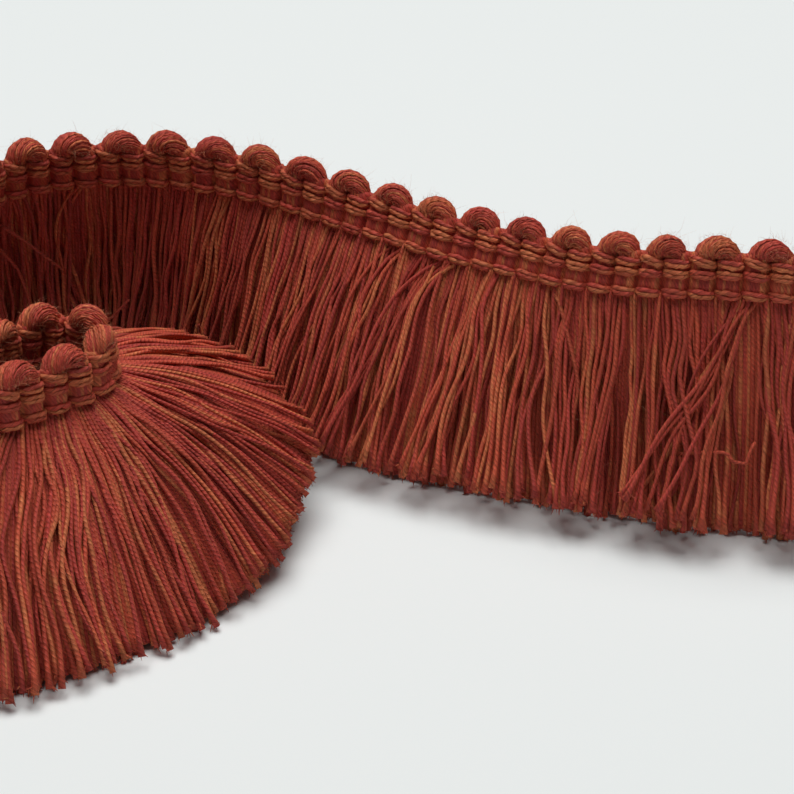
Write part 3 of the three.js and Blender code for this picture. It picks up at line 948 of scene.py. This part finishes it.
def locked(distance, layer, fall, widening, rng):
    """How far each yarn strays with its lock, stands before the rest, and is cut longer.

    widening: how much further apart the yarns are than at the band, at each station.
    """
    shift = np.zeros((len(distance), fall.shape[-1]))
    proud = np.zeros(len(distance))
    longer = np.zeros(len(distance))
    closing = smooth_step(fall, *LOCK_CLOSES) - LOCK_OPENING * smooth_step(fall, *LOCK_OPENS)
    band = np.digitize(layer, DEPTH_BANDS)
    for size in LOCKS:
        most = int(RIBBON.length / size.widths[0]) + 2
        for number in range(len(DEPTH_BANDS) + 1):
            own = band == number
            widths = rng.uniform(*size.widths, most)
            ends = np.cumsum(widths)
            lock = np.searchsorted(ends, distance[own])
            off = (ends - widths / 2)[lock] - distance[own]
            lean = rng.normal(0, size.lean, most)[lock]
            draw = rng.uniform(*size.draw, most)[lock]
            shift[own] += lean[:, None] * fall[own] ** LOCK_LEAN_CURVE
            shift[own] += (off * draw)[:, None] * closing[own] * widening[own]
            shift[own] += wavering(most, fall[:1], rng, ((*LOCK_TURNS, size.bend),))[lock]
            proud[own] += rng.normal(0, size.proud, most)[lock]
            cut = rng.normal(0, size.cut, most).clip(LOCK_LEAST_CUT * size.cut, size.cut)
            longer[own] += cut[lock]
    return shift, proud, longer


def bunched(distance, layer, fall, rng):
    """How far the yarn of each bunch is pushed along the trim, and how far it lies over the rest."""
    drawn = [(rng.uniform(0, RIBBON.length), rng.uniform(*DRAWN.half_width), rng.uniform(*DRAWN.share),
              rng.choice((-1, 1)), rng.normal(0, DRAWN.foot_shift), rng.normal(0, DRAWN.knee_shift),
              rng.uniform(*DRAWN.knee_fall)) for _ in range(DRAWN.count)]
    shift = np.zeros((len(distance), fall.shape[-1]))
    proud = np.zeros(len(distance))
    for place, half_width, share, side, foot_shift, knee_shift, knee_fall in BUNCHES + drawn:
        chosen = (np.abs(distance - place) / half_width < 1) & (layer * side > OUTER_LAYER)
        chosen = chosen & (rng.uniform(size=len(distance)) < share)
        part = fall[chosen] / knee_fall
        own = rng.uniform(*BUNCH_MOVES, (int(chosen.sum()), 1))
        shift[chosen] += own * (foot_shift * fall[chosen] + knee_shift * part * np.exp(1 - part))
        proud[chosen] = BUNCH_LIFT * side
    return shift, proud


def spaced(per_mm, crowding, unevenness, rng):
    """Places of yarn along the trim, closer together by a power of how far the skirt fans out."""
    along = np.linspace(0, RIBBON.length, RIBBON.STATIONS)
    closeness = np.maximum(RIBBON.at(along).spread[:, 0], 1) ** crowding
    total = np.cumsum(closeness) / len(along) * RIBBON.length
    count = round(float(total[-1]) * per_mm)
    place = (np.arange(count) + 0.5 + rng.uniform(-unevenness, unevenness, count)) / count
    return np.interp(place * total[-1], total, along)


class SkirtYarns:
    """Way and thickness of every yarn in the skirt, which open out at the cut."""

    def __init__(self, per_mm):
        rng = np.random.default_rng(SEED + 3)
        inner = spaced(INNER_PER_MM, INNER_CROWDING, INNER_STRAY, rng)
        outer = spaced(per_mm - INNER_PER_MM, OUTER_CROWDING, OUTER_STRAY, rng)
        side = (np.arange(len(outer)) * GOLDEN) % 1 * 2 - 1
        self.distance = np.concatenate([inner, outer])
        self.layer = np.concatenate([
            np.where(np.arange(len(inner)) % 2, INNER_LAYER, -INNER_LAYER),
            np.sign(side) * (OUTER_LAYER + (1 - OUTER_LAYER) * np.abs(side))])
        self.hidden = np.abs(self.layer) < OUTER_LAYER
        lasts = np.array([0.0] + [row.last_lobe for row in SKIRTS]) * RIBBON.lobe_pitch
        self.piece = np.searchsorted(lasts[1:-1], self.distance)
        self.flare = np.interp(self.distance, (lasts[:-1] + lasts[1:]) / 2,
                               [row.flare for row in SKIRTS])
        count = len(self.distance)
        self.draws = rng.uniform(size=(count, 3))
        self.paths = self.route(rng, count)
        radii = rng.normal(1, THICKNESS_STRAY, count).clip(*THICKNESS_RANGE)
        radii *= bpy.context.scene.fringe_yarn.diameter / MM / 2
        radii[self.hidden] *= INNER_THICKER
        fall = np.linspace(0, 1, SKIRT_STATIONS + 1)
        self.radii = radii[:, None] * (1 + CUT_SPLAY * smooth_step(fall, CUT_SPLAY_FROM, 1))

    def route(self, rng, count):
        """The points that each yarn passes, from inside the heading to its cut end."""
        distance, layer = self.distance, self.layer
        fall = np.broadcast_to(np.linspace(0, 1, SKIRT_STATIONS), (count, SKIRT_STATIONS))
        spread = np.maximum(RIBBON.at(distance).spread, 1)
        widening = 1 + (spread - 1) * fall
        loose = np.where(self.hidden, 0, 1)
        lean = rng.normal(0, LEAN_STRAY, count)
        crossing = rng.uniform(size=count) < CROSSING_SHARE
        lean += crossing * rng.normal(0, CROSSING_LEAN, count)
        shift, lift = bunched(distance, layer, fall, rng)
        lock_shift, proud, longer = locked(distance, layer, fall, widening, rng)
        shift += lock_shift + lean[:, None] * fall**LEAN_CURVE
        shift += wavering(count, fall, rng, SIDE_WAVERS)
        shift *= loose[:, None]
        shift += rolling(distance, rng, SKIRT_SWELLS)[:, None] * fall**LEAN_CURVE
        shift /= widening
        slant = shift[:, -1] * spread[:, 0] / SKIRT_DEEP
        outermost = smooth_step(np.abs(layer), OUTER_LAYER, FLARE_FROM)
        stand = outermost * rng.uniform(*FLARE_STRAY, count) * self.flare
        ends = 1 - 0.5 * slant**2 - LIFT_FOR_FLARE * stand / SKIRT_DEEP
        ends -= np.abs(rng.normal(0, CUT_STRAY, count)).clip(0, MOST_CUT_STRAY)
        ends += np.where(self.hidden, -INNER_SHORTER, longer) / SKIRT_DEEP
        depth = layer[:, None] * (ROOT_DEPTH + (FOOT_DEPTH - ROOT_DEPTH) * fall)
        depth += (np.sign(layer) * stand)[:, None] * fall**2
        lift += loose * proud + np.sign(layer) * crossing * CROSSING_LIFT
        depth += lift[:, None] * np.sin(np.pi * fall**LIFT_CURVE)
        depth += loose[:, None] * wavering(count, fall, rng, DEPTH_WAVERS)
        points = RIBBON.in_skirt(distance[:, None] + shift, fall * ends[:, None], depth)
        here = RIBBON.at(distance)
        tucked = here.face * (layer * ROOT_DEPTH * ROOT_TUCK)[:, None]
        inside = here.root + here.up * ROOT_HEIGHT + tucked
        return np.concatenate([inside[:, None], points], 1)


def solids_of(row):
    """Names of the solids that a stretch of skirt is made in."""
    return [row.name] if row.pieces == 1 else [f"{row.name}_{n + 1}" for n in range(row.pieces)]


def build_skirts():
    """The skirt pieces: cut two-ply yarn, standing close and fanned out as the trim bends."""
    yarns = SkirtYarns(bpy.context.scene.fringe_yarn.per_mm)
    for number, row in enumerate(SKIRTS):
        chosen = yarns.piece == number
        facing = RIBBON.at(yarns.distance[chosen]).middle_face[:, None]
        cloth = tubes(yarns.paths[chosen], yarns.radii[chosen], facing, YARN_SIDES, yarns.draws[chosen])
        cloth.build("yarn_" + row.name, "Skirt yarn", "skirt_yarn", solids_of(row))
    build_cut_tips(yarns)
    build_yarn_fuzz(yarns)
    build_strays()


def build_strays():
    """The single yarns that came loose from their locks."""
    rng = np.random.default_rng(SEED + 7)
    t = np.linspace(0, 1, SKIRT_STATIONS)
    places = [spline(stray, t) for stray in STRAYS]
    paths = np.stack([RIBBON.in_skirt(*place.T) for place in places])
    for path in paths:
        path += wavering(3, np.broadcast_to(t, (3, len(t))), rng, STRAY_WAVERS).T
    draws = rng.uniform(*STRAY_TONES, (len(paths), 3))
    cloth = tubes(paths, STRAY_RADIUS, STRAY_FACING, YARN_SIDES, draws)
    cloth.build("stray_yarn", "Skirt yarn", "skirt_yarn")


# Fine fibres. aside: how far they turn from the yarn, as one deviation; lengths: the shortest and
# longest; curl: how far they bend, as a share of the length.
TIPS = SimpleNamespace(per_yarn=3, start_back=(0.3, 1.0), start_aside=0.5, aside=0.42,
                       lengths=(0.5, 1.3), curl=0.2, radius=0.15)
FUZZ = SimpleNamespace(count=3200, aside=0.45, lengths=(0.8, 2.4), curl=0.25, radius=0.028)
HALO = SimpleNamespace(per_lobe=220, shares=(0.15, 0.85), around=(-2.2, 2.2), start=0.96, aside=0.6,
                       shortest=0.3, mean_longer=0.5, most_longer=2.4, curl=0.8, radius=0.019)


def build_cut_tips(yarns):
    """Fibres that open out of each cut yarn end."""
    rng = np.random.default_rng(SEED + 4)
    ends = np.repeat(yarns.paths[:, -1], TIPS.per_yarn, 0)
    aims = np.repeat(unit(yarns.paths[:, -1] - yarns.paths[:, -2]), TIPS.per_yarn, 0)
    count = len(ends)
    spread = rng.normal(0, TIPS.aside, (count, 3))
    starts = ends - aims * rng.uniform(*TIPS.start_back, count)[:, None] + spread * TIPS.start_aside
    lengths = rng.uniform(*TIPS.lengths, count)
    cloth = hairs(TIPS, starts, unit(aims + spread), lengths, rng)
    cloth.build("cut_tips", "Skirt yarn", "skirt_yarn")


def build_yarn_fuzz(yarns):
    """Short loose fibres that stand off the skirt's yarn."""
    rng = np.random.default_rng(SEED + 5)
    picked = rng.integers(0, len(yarns.paths), FUZZ.count)
    station = rng.integers(2, SKIRT_STATIONS, FUZZ.count)
    starts = yarns.paths[picked, station]
    aims = unit(starts - yarns.paths[picked, station - 1]) * rng.choice([-1, 1], FUZZ.count)[:, None]
    directions = unit(aims + rng.normal(0, FUZZ.aside, aims.shape))
    lengths = rng.uniform(*FUZZ.lengths, FUZZ.count)
    cloth = hairs(FUZZ, starts, directions, lengths, rng)
    cloth.build("yarn_fuzz", "Loose fibre", "skirt_yarn")


def build_heading_fuzz():
    """The halo of fine fibres round the scallops."""
    rng = np.random.default_rng(SEED + 6)
    starts, directions = [], []
    for number in range(LOBE_COUNT):
        lobe = lobe_places(number, rng)
        share = rng.uniform(*HALO.shares, HALO.per_lobe)
        around = rng.uniform(*HALO.around, HALO.per_lobe)
        start = cord_in_lobe(lobe, share, around, HALO.start)
        centre = cord_in_lobe(lobe, share, around, 0.0)
        starts.append(start)
        directions.append(unit(unit(start - centre) + rng.normal(0, HALO.aside, start.shape)))
    starts = np.concatenate(starts)
    lengths = HALO.shortest + rng.exponential(HALO.mean_longer, len(starts)).clip(0, HALO.most_longer)
    cloth = hairs(HALO, starts, np.concatenate(directions), lengths, rng)
    cloth.build("heading_fuzz", "Loose fibre", "gimp_cord")


# The table, light and camera
TABLE_HALF = 3.0
TABLE_ROUGHNESS = 0.7
TABLE_SHINE = 0.2
WINDOW_PLACE = Vector((0.0, 0.25, 1.55))
WINDOW_COLOUR = (1.0, 0.985, 0.96)
CAMERA_PLACE = Vector((0.0133, -0.3048, 0.1977))
CAMERA_PITCH = math.radians(60)
CAMERA_LENS = 96.71
CAMERA_NEAR = 0.01


def build_stage():
    """A plain pale table, soft light from above, and the camera."""
    scene = bpy.context.scene
    settings = scene.fringe_stage
    mesh = bpy.data.meshes.new("table")
    corners = [(x * TABLE_HALF, y * TABLE_HALF, 0) for x, y in ((-1, -1), (1, -1), (1, 1), (-1, 1))]
    mesh.from_pydata(corners, [], [(0, 1, 2, 3)])
    shown("table", mesh)
    material = bpy.data.materials.new("Table")
    material.use_nodes = True
    surface = material.node_tree.nodes["Principled BSDF"]
    surface.inputs["Base Color"].default_value = (*settings.table_colour, 1)
    surface.inputs["Roughness"].default_value = TABLE_ROUGHNESS
    surface.inputs["Specular IOR Level"].default_value = TABLE_SHINE
    mesh.materials.append(material)

    world = bpy.data.worlds.new("Studio")
    world.use_nodes = True
    sky = world.node_tree.nodes["Background"]
    sky.inputs[0].default_value = (*settings.sky_colour, 1)
    sky.inputs[1].default_value = settings.sky_strength
    scene.world = world

    lamp = bpy.data.lights.new("window", "AREA")
    lamp.size = settings.window_size
    lamp.energy = settings.window_power
    lamp.color = WINDOW_COLOUR
    window = shown("window", lamp)
    window.location = WINDOW_PLACE
    window.rotation_euler = (-WINDOW_PLACE).to_track_quat("-Z", "Y").to_euler()

    camera = shown("camera", bpy.data.cameras.new("camera"))
    camera.data.lens = CAMERA_LENS
    camera.data.clip_start = CAMERA_NEAR
    camera.location = CAMERA_PLACE
    camera.rotation_euler = Euler((CAMERA_PITCH, 0, 0))
    scene.camera = camera
    scene.view_settings.view_transform = "Standard"


# The add-on


def colour_property(name, description, default):
    """A colour that the user can change."""
    return bpy.props.FloatVectorProperty(name=name, description=description, default=default,
                                         subtype="COLOR", size=3, min=0, max=1)


class FringeDyes(bpy.types.PropertyGroup):
    """Colours of the yarn, and the paler colour with a painted glow that its single fibres take."""

    wine: colour_property("Wine", "The deepest red of the yarn", linear(182, 63, 53))
    brick: colour_property("Brick", "The middle red of the yarn", linear(201, 83, 58))
    copper: colour_property("Copper", "The orange brown of the lighter yarn", linear(211, 118, 74))
    # Painted light: a paler colour for single fibres, a painted glow for light that shines through them.
    fibre: colour_property("Single fibre", "The paler colour that one fibre has against the light",
                           linear(226, 158, 122))


class FringeYarn(bpy.types.PropertyGroup):
    """Sizes of the skirt's yarn."""

    diameter: bpy.props.FloatProperty(
        name="Yarn diameter", description="Thickness of one two-ply yarn", unit="LENGTH",
        default=0.7 * MM, min=0.3 * MM, max=2 * MM)
    lay: bpy.props.FloatProperty(
        name="Lay", description="Length of one full turn of the two plies", unit="LENGTH",
        default=1.75 * MM, min=0.5 * MM, max=6 * MM)
    per_mm: bpy.props.FloatProperty(
        name="Yarns in a millimetre", description="Yarns that hang from each millimetre of heading",
        default=7.6, min=3, max=9)


class FringeStage(bpy.types.PropertyGroup):
    """Table and light."""

    table_colour: colour_property("Table", "Colour of the table", (0.81, 0.85, 0.86))
    sky_colour: colour_property("Sky", "Colour of the light from all round", (0.9, 0.97, 1.0))
    sky_strength: bpy.props.FloatProperty(
        name="Sky strength", description="Strength of the light from all round", default=0.06, min=0)
    window_power: bpy.props.FloatProperty(
        name="Window", description="Power of the large soft light above", unit="POWER",
        default=29.5, min=0)
    window_size: bpy.props.FloatProperty(
        name="Window width", description="Width of the large soft light above", unit="LENGTH",
        default=1.4, min=0.1)


class FRINGE_OT_heading_weave(bpy.types.Operator):
    """Build the woven heading of the fringe"""

    bl_idname = "fringe.heading_weave"
    bl_label = "Woven Heading"

    def execute(self, context):
        build_heading_weave()
        return {"FINISHED"}


class FRINGE_OT_warp_rows(bpy.types.Operator):
    """Build the rows of warp yarn that bind the heading"""

    bl_idname = "fringe.warp_rows"
    bl_label = "Warp Rows"

    def execute(self, context):
        build_warp_rows()
        return {"FINISHED"}


class FRINGE_OT_scallop_cord(bpy.types.Operator):
    """Build the scalloped cord and its halo of fibres"""

    bl_idname = "fringe.scallop_cord"
    bl_label = "Scalloped Cord"

    def execute(self, context):
        build_scallop_cord()
        build_heading_fuzz()
        return {"FINISHED"}


class FRINGE_OT_skirts(bpy.types.Operator):
    """Build the skirt of cut yarn with its tips, fuzz and loose yarns"""

    bl_idname = "fringe.skirts"
    bl_label = "Yarn Skirt"

    def execute(self, context):
        build_skirts()
        return {"FINISHED"}


class FRINGE_OT_stage(bpy.types.Operator):
    """Set the table, the light and the camera"""

    bl_idname = "fringe.stage"
    bl_label = "Table, Light and Camera"

    def execute(self, context):
        build_stage()
        return {"FINISHED"}


class FRINGE_PT_panel(bpy.types.Panel):
    """Sizes, colours and pieces of the fringe"""

    bl_label = "Brush Fringe"
    bl_idname = "FRINGE_PT_panel"
    bl_space_type = "VIEW_3D"
    bl_region_type = "UI"
    bl_category = "Fringe"

    def draw(self, context):
        for settings in SETTINGS:
            group = getattr(context.scene, settings)
            box = self.layout.box()
            for name in group.__annotations__:
                box.prop(group, name)
        for operator in OPERATORS:
            self.layout.operator(operator.bl_idname)


OPERATORS = (
    FRINGE_OT_stage,
    FRINGE_OT_heading_weave,
    FRINGE_OT_warp_rows,
    FRINGE_OT_scallop_cord,
    FRINGE_OT_skirts,
)
SETTINGS = {"fringe_dyes": FringeDyes, "fringe_yarn": FringeYarn, "fringe_stage": FringeStage}


def register():
    for group in SETTINGS.values():
        bpy.utils.register_class(group)
    for name, group in SETTINGS.items():
        setattr(bpy.types.Scene, name, bpy.props.PointerProperty(type=group))
    for operator in OPERATORS:
        bpy.utils.register_class(operator)
    bpy.utils.register_class(FRINGE_PT_panel)


def unregister():
    bpy.utils.unregister_class(FRINGE_PT_panel)
    for operator in reversed(OPERATORS):
        bpy.utils.unregister_class(operator)
    for name in SETTINGS:
        delattr(bpy.types.Scene, name)
    for group in reversed(SETTINGS.values()):
        bpy.utils.unregister_class(group)


def main():
    """Builds the stage and every piece."""
    register()
    bpy.ops.fringe.stage()
    bpy.ops.fringe.heading_weave()
    bpy.ops.fringe.warp_rows()
    bpy.ops.fringe.scallop_cord()
    bpy.ops.fringe.skirts()


if __name__ == "__main__":
    main()
